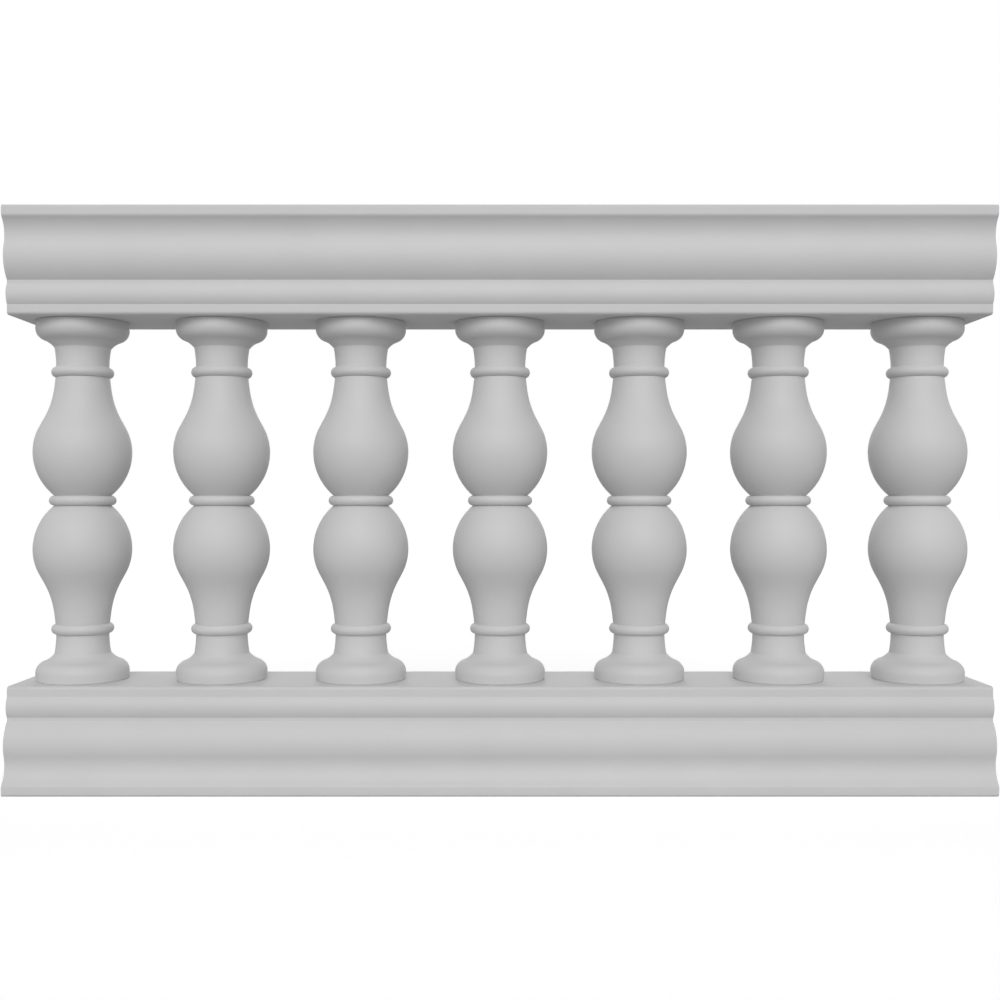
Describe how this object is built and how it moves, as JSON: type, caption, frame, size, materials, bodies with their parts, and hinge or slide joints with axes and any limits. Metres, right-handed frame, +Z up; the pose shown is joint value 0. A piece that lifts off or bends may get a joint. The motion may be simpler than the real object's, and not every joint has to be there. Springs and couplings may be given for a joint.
{
  "type": "balustrade panel",
  "caption": "Straight balustrade panel of turned double-vase balusters between moulded top and bottom rails, each baluster threaded on a steel pipe.",
  "frame": {"origin": "centre of the bottom rail's underside, where the panel stands", "axes": "+X along the rails, +Z up; the panel is the same seen from -Y and +Y"},
  "size_m": [1.524, 0.22, 0.905],
  "materials": {
    "fiberglass": "matte primed gelcoat",
    "pipe_steel": "plain mill steel"
  },
  "bodies": {
    "root": {"bottom_rail": "fiberglass", "top_rail": "fiberglass", "baluster_1": "fiberglass", "baluster_2": "fiberglass", "baluster_3": "fiberglass", "baluster_4": "fiberglass", "baluster_5": "fiberglass", "baluster_6": "fiberglass", "baluster_7": "fiberglass", "pipe_1": "pipe_steel", "pipe_2": "pipe_steel", "pipe_3": "pipe_steel", "pipe_4": "pipe_steel", "pipe_5": "pipe_steel", "pipe_6": "pipe_steel", "pipe_7": "pipe_steel"}
  },
  "joints": []
}
